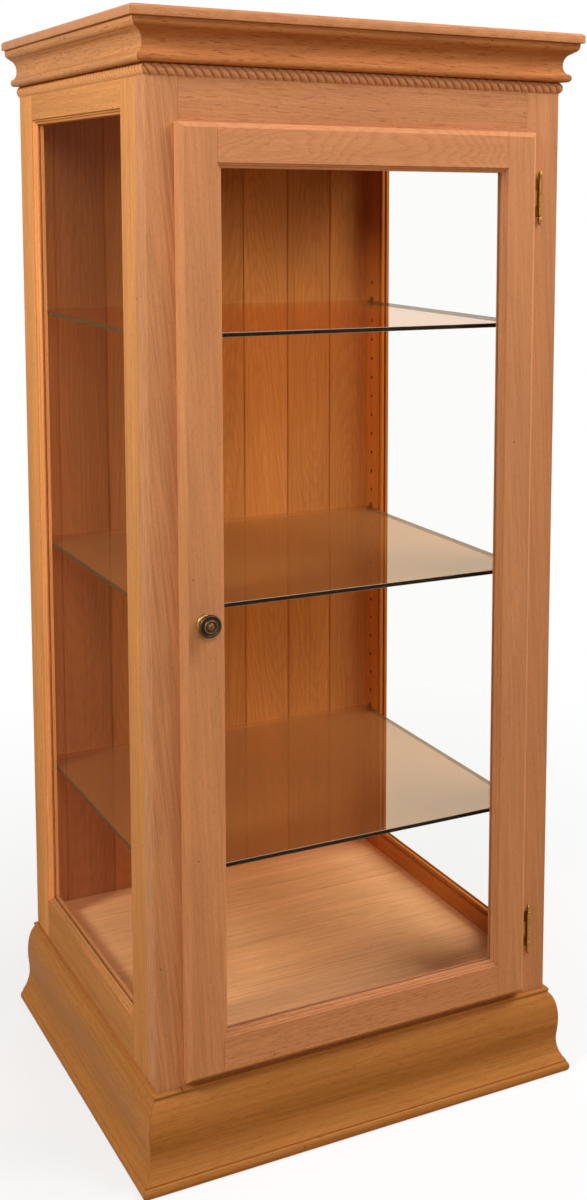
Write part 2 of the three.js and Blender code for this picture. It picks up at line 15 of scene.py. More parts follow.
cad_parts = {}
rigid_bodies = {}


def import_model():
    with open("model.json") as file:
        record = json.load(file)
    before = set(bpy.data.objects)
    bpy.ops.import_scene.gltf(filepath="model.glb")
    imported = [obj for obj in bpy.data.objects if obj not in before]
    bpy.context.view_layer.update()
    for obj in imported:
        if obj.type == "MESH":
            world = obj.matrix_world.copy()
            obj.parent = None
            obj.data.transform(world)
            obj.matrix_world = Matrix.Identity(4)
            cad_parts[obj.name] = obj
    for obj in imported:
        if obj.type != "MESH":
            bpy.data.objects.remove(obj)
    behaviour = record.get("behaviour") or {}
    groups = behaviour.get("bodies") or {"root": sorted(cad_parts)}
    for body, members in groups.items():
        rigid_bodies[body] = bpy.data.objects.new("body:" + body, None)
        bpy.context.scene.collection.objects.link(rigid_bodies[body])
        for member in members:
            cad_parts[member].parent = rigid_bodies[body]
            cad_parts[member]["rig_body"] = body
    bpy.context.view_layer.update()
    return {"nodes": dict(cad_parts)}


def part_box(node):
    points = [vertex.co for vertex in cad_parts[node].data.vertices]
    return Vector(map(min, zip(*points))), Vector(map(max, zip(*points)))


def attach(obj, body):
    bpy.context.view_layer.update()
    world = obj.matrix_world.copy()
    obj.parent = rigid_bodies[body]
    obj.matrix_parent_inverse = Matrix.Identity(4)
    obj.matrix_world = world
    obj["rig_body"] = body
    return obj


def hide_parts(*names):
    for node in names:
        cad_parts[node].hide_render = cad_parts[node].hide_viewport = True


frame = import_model()

MM = 0.001
X, Y, Z = 0, 1, 2
SIDES = ("front", "left", "right")
LEVELS = ("upper", "middle", "lower")
CASE = "case"
DOOR = "door"

# ---- the photograph's camera, solved from the cabinet's straight edges ----
FRAME_WIDTH_PX = 587
FRAME_HEIGHT_PX = 1200
FOCAL_PX = 1595.4
PRINCIPAL_X_PX = 437.4
PRINCIPAL_Y_PX = 390.0
CAMERA_PLACE = (-0.9393, -2.1202, 1.2771)
CAMERA_YAW = math.radians(29.42)
CAMERA_PITCH = math.radians(-6.89)
CAMERA_ROLL = math.radians(0.51)
SENSOR_WIDTH_MM = 36.0

# ---- colours, linear, as the photograph shows them ----
OAK_FRONT = (0.600, 0.258, 0.112)
OAK_SIDE = (0.690, 0.305, 0.112)
OAK_INSIDE = (0.540, 0.190, 0.040)
# painted shade: the crown's oak darker than the front's, for the shade under the top slab's overhang
OAK_CROWN_SHADED = (0.490, 0.180, 0.058)
# painted shade: the plinth's oak darker than the front's, darker towards the bottom
OAK_PLINTH_SHADED = (0.455, 0.182, 0.046)
OAK_BACK = (0.560, 0.208, 0.050)
# painted light: the floor panel's oak much lighter than the rest, for the light on its upward face
OAK_FLOOR_LIT = (0.850, 0.455, 0.205)
# painted shade for the insides of the pin holes and the bead groove
HOLLOW_SHADE = (0.060, 0.020, 0.006)
HINGE_BRASS = (0.340, 0.165, 0.034)
PIN_BRASS = (0.420, 0.250, 0.080)
KNOB_PATINA = (0.040, 0.023, 0.013)
KNOB_BRONZE = (0.150, 0.078, 0.030)
# bare bronze where the patina is rubbed off, also the colour of the foot's painted highlight
KNOB_WORN_AND_HIGHLIGHT = (0.420, 0.250, 0.100)
PANE_TINT = (0.992, 0.994, 0.990)
SHELF_TINT_UPPER = (0.990, 0.875, 0.780)
SHELF_TINT = (0.860, 0.760, 0.640)
SHELF_HAZE = (0.700, 0.330, 0.100)
SHELF_EDGE = (0.014, 0.008, 0.004)
SHELF_END = (0.110, 0.080, 0.030)
# painted highlight along the shelves' front arris
SHELF_ARRIS_HIGHLIGHT = (0.620, 0.450, 0.280)
SHELF_EDGE_TINT = (0.950, 0.920, 0.850)

# ---- what the wood's parts do to its tone, per channel ----
LATE_WOOD = (1.06, 1.07, 1.08)
EARLY_WOOD = (0.80, 0.70, 0.60)
FLECK = (0.52, 0.42, 0.34)
PORE = (0.45, 0.36, 0.28)
KNOT = (0.35, 0.22, 0.15)
REDDER = (0.94, 0.80, 0.60)  # the right rear stile against the rest of the inside


def tinted(tone, gains):
    """A colour with each channel multiplied by its own gain, and held at 1."""
    return tuple(min(1.0, channel * gain) for channel, gain in zip(tone, gains))


def gained(tone, gain):
    return tinted(tone, (gain, gain, gain))


# ---- materials ----


class Finish:
    """A material's node tree, with short calls for the nodes that the finishes are made of."""

    def __init__(self, name):
        self.material = bpy.data.materials.new(name)
        self.material.use_nodes = True
        self.tree = self.material.node_tree
        self.tree.nodes.clear()

    def node(self, kind, inputs=None, **settings):
        made = self.tree.nodes.new(kind)
        for key, value in settings.items():
            setattr(made, key, value)
        for key, value in (inputs or {}).items():
            self.put(made.inputs[key], value)
        return made

    def put(self, socket, value):
        if isinstance(value, bpy.types.NodeSocket):
            self.tree.links.new(value, socket)
        elif socket.type == "RGBA" and len(value) == 3:
            socket.default_value = (*value, 1.0)
        else:
            socket.default_value = value

    # numbers and vectors

    def place(self):
        return self.node("ShaderNodeTexCoord").outputs["Object"]

    def split(self, vector):
        return self.node("ShaderNodeSeparateXYZ", {0: vector}).outputs

    def joined(self, x, y, z):
        return self.node("ShaderNodeCombineXYZ", {0: x, 1: y, 2: z}).outputs[0]

    def length(self, vector):
        return self.node("ShaderNodeVectorMath", {0: vector}, operation="LENGTH").outputs["Value"]

    def vector(self, operation, a, b):
        return self.node("ShaderNodeVectorMath", {0: a, 1: b}, operation=operation).outputs[0]

    def math(self, operation, a, b=0.0, clamp=False):
        return self.node("ShaderNodeMath", {0: a, 1: b}, operation=operation, use_clamp=clamp).outputs[0]

    def sum_of(self, value, other, gain):
        """value + gain * other."""
        return self.node("ShaderNodeMath", {0: other, 1: gain, 2: value}, operation="MULTIPLY_ADD").outputs[0]

    def spread(self, value, low, high, to_low, to_high):
        """value moved from low..high to to_low..to_high, and held there."""
        inputs = {0: value, 1: low, 2: high, 3: to_low, 4: to_high}
        return self.node("ShaderNodeMapRange", inputs, clamp=True).outputs[0]

    def ramp(self, value, stops):
        made = self.node("ShaderNodeValToRGB", {0: value})
        elements = made.color_ramp.elements
        while len(elements) < len(stops):
            elements.new(0.5)
        for element, (position, shade) in zip(elements, stops):
            element.position = position
            element.color = (shade, shade, shade, 1.0)
        return made.outputs[0]

    def noise(self, place, scale=1.0, detail=2.0, roughness=0.5):
        inputs = {"Vector": place, "Scale": scale, "Detail": detail, "Roughness": roughness}
        return self.node("ShaderNodeTexNoise", inputs).outputs["Fac"]

    # colours

    def mix(self, factor, a, b, blend="MIX"):
        made = self.node("ShaderNodeMix", {0: factor, 6: a, 7: b}, data_type="RGBA", blend_type=blend)
        return made.outputs[2]

    def shaded(self, colour, shade):
        grey = self.node("ShaderNodeCombineColor", {0: shade, 1: shade, 2: shade}).outputs[0]
        return self.mix(1.0, colour, grey, "MULTIPLY")

    # surfaces

    def bump(self, height, strength, distance):
        inputs = {"Height": height, "Strength": strength, "Distance": distance}
        return self.node("ShaderNodeBump", inputs).outputs[0]

    def diffuse(self, colour):
        return self.node("ShaderNodeBsdfDiffuse", {"Color": colour}).outputs[0]

    def see_through(self, tint):
        return self.node("ShaderNodeBsdfTransparent", {"Color": tint}).outputs[0]

    def principled(self, inputs):
        return self.node("ShaderNodeBsdfPrincipled", inputs).outputs[0]

    def blend(self, share, one, two):
        return self.node("ShaderNodeMixShader", {0: share, 1: one, 2: two}).outputs[0]

    def done(self, shader):
        self.node("ShaderNodeOutputMaterial", {"Surface": shader})
        return self.material


# how one wooden piece was cut from its log, and how strongly each trait shows
Grain = namedtuple("Grain", (
    "figure",  # contrast of the growth rings
    "sway",  # how many rings the figure wanders by
    "drift",  # how far the grain strays sideways, per length
    "dashes",  # short dark flecks along the grain
    "streaks",  # long soft streaks
    "gloss",
    "taper",  # how steeply the face cuts across the rings, which makes them arch
    "pitch",  # from ring to ring
    "pith",  # the log's middle, below the board's middle; None takes it from the board's number
), defaults=(0.4, 3.0, 0.0, 0.4, 0.5, 0.05, 0.05, 3.4 * MM, None))

PITH_SIDE_RANGE = 16 * MM
PITH_DEPTH_RANGE = 50 * MM


def grain_space(finish, along, face, centre):
    """Object coordinates from the board's middle, with X along the grain and Z into its face."""
    split = finish.split(finish.place())
    across = 3 - along - face
    return finish.joined(*(
        finish.math("SUBTRACT", split[axis], centre[axis]) for axis in (along, across, face)))


def stretched(finish, fibre, along, across):
    """Grain coordinates scaled to this many features a metre along and across the grain."""
    return finish.vector("MULTIPLY", fibre, (along, across, across))


def early_wood(finish, split, across, fibre, shift, grain):
    """1 in the dark early wood of a growth ring, which fades to 0 in the late wood."""
    pith_across = (shift[1] - 0.5) * PITH_SIDE_RANGE
    pith_depth = (shift[2] - 0.3) * PITH_DEPTH_RANGE if grain.pith is None else grain.pith
    depth = finish.math("ADD", finish.sum_of(split[2], split[0], grain.taper), pith_depth)
    radius = finish.length(finish.joined(0.0, finish.math("ADD", across, pith_across), depth))
    wander = finish.noise(stretched(finish, fibre, 4.0, 17.0), detail=1.0)
    ripple = finish.noise(stretched(finish, fibre, 30.0, 260.0), detail=1.0)
    rings = finish.sum_of(finish.math("MULTIPLY", radius, 1 / grain.pitch), wander, 2.2 * grain.sway)
    rings = finish.math("FRACT", finish.sum_of(rings, ripple, 0.7))
    return finish.ramp(rings, [(0.0, 1.0), (0.22, 0.6), (0.5, 0.1), (0.82, 0.0), (1.0, 1.0)])


def pin_knots(finish, fibre):
    """More than 0 inside small round knots, about one to a hand's breadth of board."""
    flat = finish.split(fibre)
    spot = finish.joined(flat[0], flat[1], 0.0)
    cells = finish.node("ShaderNodeTexVoronoi", {"Vector": spot, "Scale": 4.0}, voronoi_dimensions="2D")
    return finish.spread(cells.outputs["Distance"], 0.003, 0.007, 0.7, 0.0)


def oak(name, tone, axes, centre, number, grain):
    """Lacquered oak: growth rings that arch on a board's face, streaks, flecks, pores and sheen."""
    finish = Finish(name)
    # a different stretch of the log for each board
    shift = (0.731 * number % 3.0, 0.37 * number % 1.0, 0.61 * number % 1.0)
    split = finish.split(grain_space(finish, *axes, centre))
    across = finish.sum_of(split[1], split[0], grain.drift)
    fibre = finish.vector("ADD", finish.joined(split[0], across, split[2]), shift)
    early = early_wood(finish, split, across, fibre, shift, grain)

    streaks = finish.noise(stretched(finish, fibre, 7.0, 240.0), detail=3.0, roughness=0.6)
    patches = finish.noise(stretched(finish, fibre, 2.6, 26.0), detail=2.0)
    flecks = finish.noise(stretched(finish, fibre, 60.0, 560.0), detail=1.0)
    flecks = finish.spread(flecks, 0.60, 0.70, 0.0, grain.dashes)
    pores = finish.noise(stretched(finish, fibre, 150.0, 2300.0), detail=1.0)
    pores = finish.spread(pores, 0.60, 0.72, 0.0, 0.45)

    early = finish.math("MULTIPLY", early, grain.figure)
    streak_low, streak_high = 1 - 0.26 * grain.streaks, 1 + 0.20 * grain.streaks
    colour = finish.mix(early, tinted(tone, LATE_WOOD), tinted(tone, EARLY_WOOD))
    colour = finish.shaded(colour, finish.spread(streaks, 0.25, 0.75, streak_low, streak_high))
    colour = finish.shaded(colour, finish.spread(patches, 0.3, 0.7, 0.93, 1.06))
    colour = finish.mix(flecks, colour, tinted(tone, FLECK))
    colour = finish.mix(pores, colour, tinted(tone, PORE))
    colour = finish.mix(pin_knots(finish, fibre), colour, tinted(tone, KNOT))

    pits = finish.math("MAXIMUM", flecks, pores)
    relief = finish.math("SUBTRACT", finish.math("MULTIPLY", streaks, 0.3), pits)
    return finish.done(finish.principled({
        "Base Color": colour,
        "Roughness": finish.spread(streaks, 0.2, 0.8, 0.36, 0.50),
        "Specular IOR Level": grain.gloss,
        "Normal": finish.bump(relief, 0.18, 0.2 * MM),
    }))


def hollow_shadow(name):
    """Painted shade for the insides of the pin holes and the bead groove: a near-black colour for the shade
    there, over the somewhat darker end grain.
    """
    finish = Finish(name)
    speckle = finish.noise(finish.place(), scale=900.0, detail=2.0)
    return finish.done(finish.diffuse(finish.mix(speckle, gained(HOLLOW_SHADE, 0.7), HOLLOW_SHADE)))


def aged_metal(name, tone, roughness, contrast):
    """Brass with a soft, uneven tarnish."""
    finish = Finish(name)
    place = finish.place()
    clouds = finish.spread(finish.noise(place, scale=320.0, detail=4.0, roughness=0.6), 0.3, 0.7, 0.0, 1.0)
    scuffs = finish.noise(place, scale=1500.0, detail=2.0)
    return finish.done(finish.principled({
        "Base Color": finish.mix(clouds, gained(tone, 1 - contrast), gained(tone, 1 + contrast)),
        "Metallic": 1.0,
        "Roughness": finish.spread(scuffs, 0.3, 0.7, roughness - 0.06, roughness + 0.08),
    }))


# how much wear the knob has, from its axis (0) to KNOB_REACH (1)
KNOB_REACH = 16 * MM
KNOB_WEAR = (
    (0.0, 0.22), (0.06, 0.32), (0.20, 0.34), (0.34, 0.08), (0.42, 0.20), (0.50, 0.46),
    (0.58, 0.14), (0.66, 0.03), (0.86, 0.06), (0.93, 0.24), (1.0, 0.05))
KNOB_FOOT = (-9 * MM, -5 * MM)  # ahead of the door, where the dark face gives way to the foot's painted highlight


def knob_bronze(name, centre):
    """Dark patina that hands and polish have rubbed off the raised rings, and a painted highlight that makes
    the foot bright all round.
    """
    finish = Finish(name)
    place = finish.place()
    split = finish.split(finish.vector("SUBTRACT", place, tuple(centre)))
    radius = finish.length(finish.joined(split[0], 0.0, split[2]))
    wear_and_highlight = finish.ramp(finish.spread(radius, 0.0, KNOB_REACH, 0.0, 1.0), KNOB_WEAR)
    clouds = finish.noise(place, scale=420.0, detail=3.0)
    wear_and_highlight = finish.math("MULTIPLY", wear_and_highlight, finish.spread(clouds, 0.3, 0.7, 0.7, 1.3))
    # painted highlight: the foot, near the door, turns bright
    foot = finish.spread(split[1], *KNOB_FOOT, 0.0, 0.9)
    wear_and_highlight = finish.math("MAXIMUM", wear_and_highlight, foot, clamp=True)
    colour = finish.mix(finish.spread(wear_and_highlight, 0.0, 0.4, 0.0, 1.0), KNOB_PATINA, KNOB_BRONZE)
    colour = finish.mix(finish.spread(wear_and_highlight, 0.4, 1.0, 0.0, 1.0), colour, KNOB_WORN_AND_HIGHLIGHT)
    return finish.done(finish.principled({
        "Base Color": colour,
        "Metallic": 0.8,
        "Roughness": finish.spread(clouds, 0.3, 0.7, 0.28, 0.42),
        "Specular IOR Level": 0.2,
    }))


def sheet_glass(finish, tint, least, most):
    """Clear glass: see-through, and its reflection grows from least to most at a glancing angle."""
    wander = finish.noise(finish.place(), scale=3.0, detail=1.0)
    gloss = finish.node("ShaderNodeBsdfGlossy", {
        "Color": (1.0, 1.0, 1.0), "Roughness": 0.02, "Normal": finish.bump(wander, 0.05, 2 * MM)})
    glancing = finish.node("ShaderNodeLayerWeight", {"Blend": 0.5}).outputs["Facing"]
    mirror = finish.sum_of(least, finish.math("POWER", glancing, 5.0), most - least)
    return finish.blend(mirror, finish.see_through(tint), gloss.outputs[0])


def pane_glass(name):
    finish = Finish(name)
    return finish.done(sheet_glass(finish, PANE_TINT, 0.001, 0.02))


def opaque(finish, colour, roughness, gloss):
    return finish.principled({"Base Color": colour, "Roughness": roughness, "Specular IOR Level": gloss})


def shelf_glass(name, tint, haze_share, front, rear):
    """Shelf glass: warm, faintly hazy faces. Its front edge is nearly black under a pale arris, a painted
    highlight; its ends are a dim olive, and its rear edge is clear."""
    finish = Finish(name)
    place = finish.place()
    inward = finish.split(place)[Y]
    normal = finish.node("ShaderNodeNewGeometry").outputs["Normal"]
    upright = finish.math("ABSOLUTE", finish.split(normal)[Z])
    clouds = finish.noise(place, scale=60.0, detail=2.0)

    haze = finish.diffuse(finish.mix(clouds, gained(SHELF_HAZE, 0.9), SHELF_HAZE))
    faces = finish.blend(haze_share, sheet_glass(finish, tint, 0.004, 0.12), haze)

    dark = opaque(finish, finish.mix(clouds, SHELF_EDGE, gained(SHELF_EDGE, 2.0)), 0.2, 0.08)
    clear = finish.see_through(SHELF_EDGE_TINT)
    olive = finish.diffuse(finish.mix(clouds, SHELF_END, gained(SHELF_END, 1.4)))
    past_front = finish.spread(inward, front + MM, front + 2 * MM, 0.0, 1.0)
    at_rear = finish.spread(inward, rear - 2 * MM, rear - MM, 0.0, 1.0)
    body = finish.blend(past_front, dark, finish.blend(0.35, olive, clear))
    body = finish.blend(at_rear, body, clear)

    # painted highlight: the bevelled arris of the front edge made pale
    arris = opaque(finish, finish.mix(clouds, gained(SHELF_ARRIS_HIGHLIGHT, 0.85), SHELF_ARRIS_HIGHLIGHT), 0.3, 0.2)
    is_front = finish.spread(inward, front + MM, front + 2 * MM, 1.0, 0.0)
    is_arris = finish.math("MULTIPLY", finish.spread(upright, 0.15, 0.25, 0.0, 1.0), is_front)
    edge = finish.blend(is_arris, body, arris)
    is_face = finish.spread(upright, 0.93, 0.97, 0.0, 1.0)
    return finish.done(finish.blend(is_face, edge, faces))


# ---- meshes ----


def new_piece(name, body, material, mesh_maker):
    """A mesh object filled by mesh_maker(bmesh), which rides on a body."""
    mesh = bpy.data.meshes.new(name)
    shape = bmesh.new()
    mesh_maker(shape)
    bmesh.ops.recalc_face_normals(shape, faces=shape.faces)
    shape.to_mesh(mesh)
    shape.free()
    mesh.materials.append(material)
    piece = bpy.data.objects.new(name, mesh)
    bpy.context.scene.collection.objects.link(piece)
    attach(piece, body)
    return piece


def shade_by_angle(mesh, angle):
    """Smooth faces, with sharp edges wherever the surface turns by more than angle."""
    shape = bmesh.new()
    shape.from_mesh(mesh)
    for face in shape.faces:
        face.smooth = True
    for edge in shape.edges:
        edge.smooth = len(edge.link_faces) == 2 and edge.calc_face_angle(math.pi) < angle
    shape.to_mesh(mesh)
    shape.free()


def ease_edges(shape, width, chosen):
    """Weld a CAD mesh, merge its flat facets and round the chosen edges by width."""
    bmesh.ops.remove_doubles(shape, verts=shape.verts, dist=1e-6)
    bmesh.ops.dissolve_limit(
        shape, angle_limit=math.radians(0.5), verts=shape.verts, edges=shape.edges)
    if width > 0:
        bmesh.ops.bevel(
            shape, geom=[edge for edge in shape.edges if chosen(edge)], offset=width, segments=2,
            profile=0.5, affect="EDGES", clamp_overlap=True)


def long_and_sharp(edge):
    return edge.calc_length() > 60 * MM and edge.calc_face_angle(0) > math.radians(32)


def finished_copy(node, material, edge=0.0, smooth=math.radians(30), chosen=long_and_sharp, hollow=None):
    """Show a CAD node by a copy of itself, its chosen edges eased and its hollows in another material, the
    painted hollow shade.
    """
    source = frame["nodes"][node]

    def fill(shape):
        shape.from_mesh(source.data)
        ease_edges(shape, edge, chosen)
        for face in shape.faces:
            # faces in the holes and the groove take the painted shade
            face.material_index = 1 if hollow and in_hollow(face) else 0

    piece = new_piece(f"{node}_shown", source["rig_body"], material, fill)
    if hollow:
        piece.data.materials.append(hollow)
    shade_by_angle(piece.data, smooth)
    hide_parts(node)
    return piece


def centre_of(node):
    low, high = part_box(node)
    return [(a + b) / 2 for a, b in zip(low, high)]


# ---- the wooden pieces ----

CASE_LOW = Vector(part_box("front_left_post")[0])
CASE_HIGH = Vector(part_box("right_side_rear_stile")[1])
SIDE_INNER_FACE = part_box("right_side_rear_stile")[0][0]
PIN_ROWS = [centre_of(f"upper_shelf_pin_{row}_right")[Y] for row in ("front", "rear")]
PANE_EDGES = [corner[Y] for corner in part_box("right_side_glass")]  # the grooves run just over them

TOUCHING = 0.2 * MM
HOLE_HALF = 3 * MM  # from a pin row's middle to just past its holes
GROOVE_HALF = 2.6 * MM
GROOVE_DEPTH = 3.2 * MM
BELOW_FACE = 0.3 * MM
CORNER_LENGTH = 1.0
CORNER_EASE = 0.8 * MM


def on_case_corner(edge):
    """True for the long outer corners of the case: its four upright edges."""
    middle = (edge.verts[0].co + edge.verts[1].co) / 2
    at_side = min(abs(middle.x - CASE_LOW.x), abs(middle.x - CASE_HIGH.x)) < TOUCHING
    at_end = min(abs(middle.y - CASE_LOW.y), abs(middle.y - CASE_HIGH.y)) < TOUCHING
    return at_side and at_end and edge.calc_length() > CORNER_LENGTH


def in_hollow(face):
    """True inside the shelf-pin holes and the glazing-bead groove of a side stile."""
    middle = face.calc_center_median()
    depth = abs(middle.x) - SIDE_INNER_FACE
    in_hole = min(abs(middle.y - row) for row in PIN_ROWS) < HOLE_HALF and depth > BELOW_FACE
    at_groove = min(abs(middle.y - edge) for edge in PANE_EDGES) < GROOVE_HALF
    return in_hole or (at_groove and BELOW_FACE < depth < GROOVE_DEPTH)


def wooden_pieces():
    """(node, tone, (grain axis, face axis), grain) for every wooden node but the back and the ropes."""
    moulded = Grain(figure=0.34, sway=1.6, dashes=0.75, streaks=0.7, gloss=0.02, taper=0.04)
    plain = Grain(figure=0.30, sway=2.0, dashes=0.45, gloss=0.06, taper=0.08)
    flamed = Grain(
        figure=0.40, sway=6.5, dashes=0.08, streaks=0.3, gloss=0.10, taper=0.34, pitch=6.5 * MM, pith=52 * MM)
    streaked = Grain(figure=0.22, sway=2.4, drift=0.10, dashes=0.12, streaks=1.0, gloss=0.06, taper=0.03)
    quiet = Grain(figure=0.12, sway=3.0, drift=0.05, dashes=0.06, streaks=0.5, gloss=0.06, taper=0.06)
    side = Grain(figure=0.20, sway=2.4, dashes=0.20, streaks=0.6, gloss=0.0)
    inside = Grain(figure=0.30, sway=2.4, dashes=0.20, streaks=0.7, gloss=0.0)
    base = Grain(figure=0.16, sway=1.6, dashes=0.35, streaks=0.7, gloss=0.02)
    front_way, side_way = (X, Y), (Y, X)
    front_upright, side_upright = (Z, Y), (Z, X)
    return [
        ("top_slab", OAK_FRONT, front_way, plain),
        ("crown_front", OAK_CROWN_SHADED, front_way, moulded),
        ("crown_left", gained(OAK_SIDE, 0.88), side_way, moulded),
        ("crown_right", gained(OAK_SIDE, 0.88), side_way, moulded),
        ("plinth_front", OAK_PLINTH_SHADED, front_way, base),
        ("plinth_left", gained(OAK_PLINTH_SHADED, 1.18), side_way, base),
        ("plinth_right", OAK_PLINTH_SHADED, side_way, base),
        ("plinth_back", OAK_BACK, front_way, base),
        ("front_left_post", OAK_FRONT, front_upright, streaked),
        ("front_right_post", gained(OAK_FRONT, 0.95), front_upright, quiet),
        ("front_top_rail", gained(OAK_FRONT, 0.93), front_way, plain),
        ("front_bottom_rail", OAK_FRONT, front_way, plain),
        ("door_knob_stile", gained(OAK_FRONT, 1.02), front_upright, quiet),
        ("door_hinge_stile", gained(OAK_FRONT, 0.97), front_upright, quiet),
        ("door_top_rail", gained(OAK_FRONT, 1.02), front_way, flamed),
        ("door_bottom_rail", OAK_FRONT, front_way, plain),
        ("left_side_front_stile", OAK_SIDE, side_upright, side),
        # painted light: this stile made 1.34 times lighter than the side's oak, for the stronger light on it
        ("left_side_rear_stile", gained(OAK_SIDE, 1.34), side_upright, side),
        ("left_side_top_rail", OAK_SIDE, side_way, side),
        ("left_side_bottom_rail", gained(OAK_SIDE, 0.94), side_way, side),
        ("right_side_front_stile", OAK_INSIDE, side_upright, inside),
        ("right_side_rear_stile", tinted(OAK_INSIDE, REDDER), side_upright, inside),
        ("right_side_top_rail", OAK_INSIDE, side_way, inside),
        ("right_side_bottom_rail", OAK_INSIDE, side_way, inside),
        ("floor_panel", OAK_FLOOR_LIT, (X, Z), inside),
    ]


BOARD_TONES = (0.96, 1.08, 0.94, 1.00, 1.06, 0.98, 0.96)
BOARD_DRIFTS = (0.0, -0.03, 0.02, -0.05, 0.07, 0.0, 0.0)
FIRST_BOARD_NUMBER = 40  # the boards and the ropes are cut from other stretches of the log
FIRST_ROPE_NUMBER = 60


def dress_wood():
    hollow = hollow_shadow("hollow_shadow")
    for number, (node, tone, axes, grain) in enumerate(wooden_pieces()):
        material = oak(f"oak_{node}", tone, axes, centre_of(node), number, grain)
        eased = node == "top_slab" or node.endswith(("_post", "rear_stile"))
        edge = CORNER_EASE if eased else 0.0
        chosen = long_and_sharp if node == "top_slab" else on_case_corner
        drilled = hollow if "_side_" in node and node.endswith("stile") else None
        finished_copy(node, material, edge, chosen=chosen, hollow=drilled)


def dress_back():
    common = Grain(figure=0.36, sway=2.6, dashes=0.12, streaks=0.6, gloss=0.0, taper=0.12, pitch=4.6 * MM)
    for number, (gain, drift) in enumerate(zip(BOARD_TONES, BOARD_DRIFTS), start=1):
        node = f"back_board_{number}"
        grain = common._replace(drift=drift)
        log_place = FIRST_BOARD_NUMBER + number
        material = oak(f"oak_{node}", gained(OAK_BACK, gain), (Z, Y), centre_of(node), log_place, grain)
        finished_copy(node, material)


# ---- the twisted rope ----

ROPE_PITCH = 11.7 * MM
ROPE_LEAN = 9.8 * MM  # how far a strand travels along from top to bottom
ROPE_GROOVE = 2.6 * MM
ROPE_GROOVE_SHARPNESS = 1.6
ROPE_FADE = 0.15  # how suddenly the grooves run out at the rope's top and bottom
ROPE_STEPS = 12  # sections to one strand
ROPE_SHADE_SECTIONS = 2  # sections on either side of a groove's bottom, which take the painted groove shade
ROPE_ARC = 14  # facets from top to bottom
# how dark the painted shade in the rope's grooves is, against the clean oak
ROPE_SHADE_TONE = 0.84


def rope_piece(side, material, groove_shaded):
    """One length of half-round rope, its strands wound down to the right, its ends mitred and
    its grooves darkened with painted shade."""
    low, high = (Vector(corner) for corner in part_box(f"rope_{side}"))
    case_low = Vector(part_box("front_left_post")[0])
    case_high = Vector(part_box("front_right_post")[1])
    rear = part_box("left_side_rear_stile")[1][1]
    front = case_low.y
    runs = {  # start, end, which ends are mitred, how far proud, and (along, out, up) in the row frame
        "front": (case_low.x, case_high.x, (True, True), front - low.y,
                  lambda along, out, up: (along, front - out, up)),
        "left": (-rear, -front, (False, True), case_low.x - low.x,
                 lambda along, out, up: (case_low.x - out, -along, up)),
        "right": (front, rear, (True, False), high.x - case_high.x,
                  lambda along, out, up: (case_high.x + out, along, up)),
    }
    start, end, mitres, proud, to_row = runs[side]
    middle = (low.z + high.z) / 2
    half = (high.z - low.z) / 2
    radius = (half * half + proud * proud) / (2 * proud)
    centre = proud - radius
    reach = math.asin(min(1.0, half / radius))
    first_section = start - ROPE_LEAN
    count = math.ceil((end - start + 2 * ROPE_LEAN) / ROPE_PITCH * ROPE_STEPS)

    def point(i, j):
        angle = reach * (1 - 2 * j / ROPE_ARC)
        ridge = abs(math.sin(math.pi * i / ROPE_STEPS))
        groove = ROPE_GROOVE * (1 - ridge) ** ROPE_GROOVE_SHARPNESS
        fade = max(0.0, math.cos(angle / reach * math.pi / 2)) ** ROPE_FADE
        r = radius - groove * fade
        out = max(0.0, centre + r * math.cos(angle))
        along = first_section + i * ROPE_PITCH / ROPE_STEPS - ROPE_LEAN * angle / (2 * reach)
        first = start - (out if mitres[0] else 0)
        last = end + (out if mitres[1] else 0)
        return to_row(min(max(along, first), last), out, middle + r * math.sin(angle))

    def fill(shape):
        rows = [[shape.verts.new(point(i, j)) for j in range(ROPE_ARC + 1)] for i in range(count + 1)]
        for i, (one, two) in enumerate(zip(rows, rows[1:])):
            for j in range(ROPE_ARC):
                face = shape.faces.new((one[j], one[j + 1], two[j + 1], two[j]))
                # faces beside a groove's bottom take the painted shade
                face.material_index = 1 if (i + ROPE_SHADE_SECTIONS) % ROPE_STEPS < 2 * ROPE_SHADE_SECTIONS else 0
        bmesh.ops.remove_doubles(shape, verts=shape.verts, dist=2e-5)
        bmesh.ops.dissolve_degenerate(shape, dist=1e-5, edges=shape.edges)
        bmesh.ops.holes_fill(shape, edges=[e for e in shape.edges if e.is_boundary], sides=0)

    piece = new_piece(f"twisted_rope_{side}", CASE, material, fill)
    piece.data.materials.append(groove_shaded)
    shade_by_angle(piece.data, math.radians(60))
    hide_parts(f"rope_{side}")


def dress_ropes():
    grain = Grain(figure=0.1, dashes=0.0)
    for number, side in enumerate(SIDES, start=FIRST_ROPE_NUMBER):
        axes, tone = ((X, Y), OAK_FRONT) if side == "front" else ((Y, X), OAK_SIDE)
        centre = centre_of(f"rope_{side}")
        clean = oak(f"oak_rope_{side}", tone, axes, centre, number, grain)
        # the same oak, darker, as painted shade for the grooves
        groove_shaded = oak(f"groove_shade_rope_{side}", gained(tone, ROPE_SHADE_TONE), axes, centre, number, grain)
        rope_piece(side, clean, groove_shaded)


# ---- metal ----


